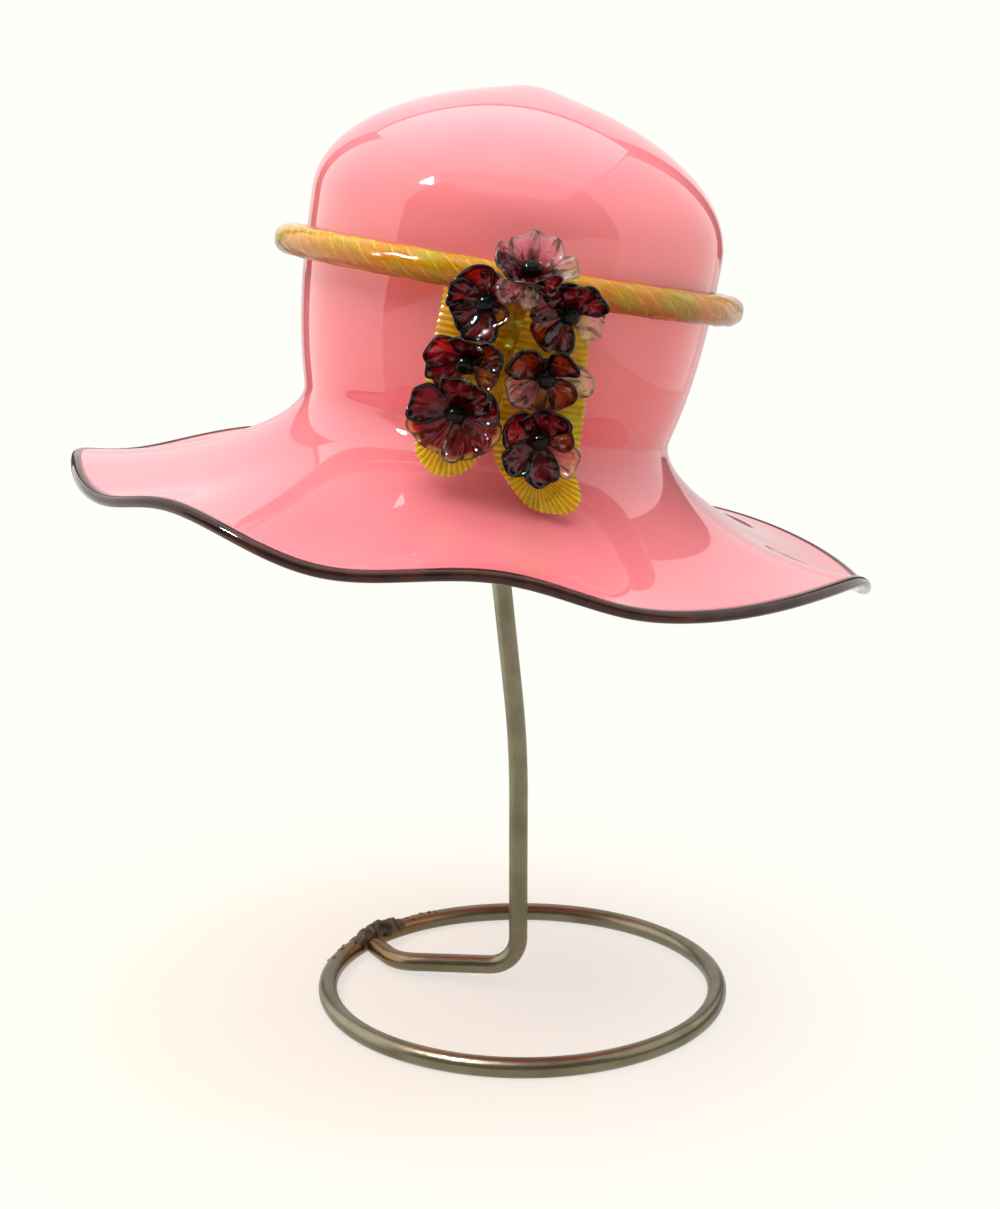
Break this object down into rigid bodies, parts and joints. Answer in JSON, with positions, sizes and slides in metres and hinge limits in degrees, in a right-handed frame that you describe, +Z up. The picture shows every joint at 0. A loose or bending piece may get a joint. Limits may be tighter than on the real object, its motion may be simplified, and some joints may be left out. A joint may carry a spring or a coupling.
{
  "type": "glass hat on stand",
  "caption": "Pink blown-glass sun hat with ruffled brim, twisted cane hatband and lampworked flower corsage, resting on a bent steel rod stand with a ring base.",
  "frame": {"origin": "centre of the base ring, on the plane that the ring stands on", "axes": "+Z up from the floor, +X to the right and -Y to the front of the hat as pictured"},
  "size_m": [0.2529, 0.2589, 0.298],
  "materials": {
    "steel": "bare drawn bar, waxed, some heat tint",
    "weld": "as-welded, darkened",
    "vinyl": "soft vinyl cap",
    "pink_glass": "cased opaque pink, fire polished",
    "plum_brown_glass": "dark lip wrap, fire polished",
    "amber_cane": "twisted amber and green cane",
    "amber_leaf": "ribbed, pressed, clear amber",
    "garnet_glass": "lampworked transparent garnet",
    "black_glass": "opaque black bead",
    "green_glass": "clear olive green"
  },
  "bodies": {
    "stand": {"base_ring": "steel", "stem": "steel", "weld_bead": "weld"},
    "cap": {"tip_cap": "vinyl"},
    "hat": {"hat_shell": "pink_glass", "lip_wrap": "plum_brown_glass", "hatband": "amber_cane", "leaf_left": "amber_leaf", "leaf_right": "amber_leaf", "leaf_centre": "amber_leaf", "flower_a": "garnet_glass", "flower_b": "garnet_glass", "flower_c": "garnet_glass", "flower_d": "garnet_glass", "flower_e": "garnet_glass", "flower_f": "garnet_glass", "flower_g": "garnet_glass", "bead_a": "black_glass", "bead_b": "black_glass", "bead_c": "black_glass", "bead_d": "black_glass", "bead_e": "black_glass", "bead_f": "black_glass", "bead_g": "black_glass", "bud_upper": "green_glass", "bud_lower": "green_glass"}
  },
  "joints": [
    {"name": "hat_turn", "type": "hinge", "parent": "stand", "child": "cap", "pos_m": [-0.01356, -0.004, 0.29], "axis": [0, 0, 1], "continuous": true},
    {"name": "hat_lift", "type": "slide", "parent": "cap", "child": "hat", "axis": [0, 0, 1], "range_m": [0, 0.16]}
  ]
}
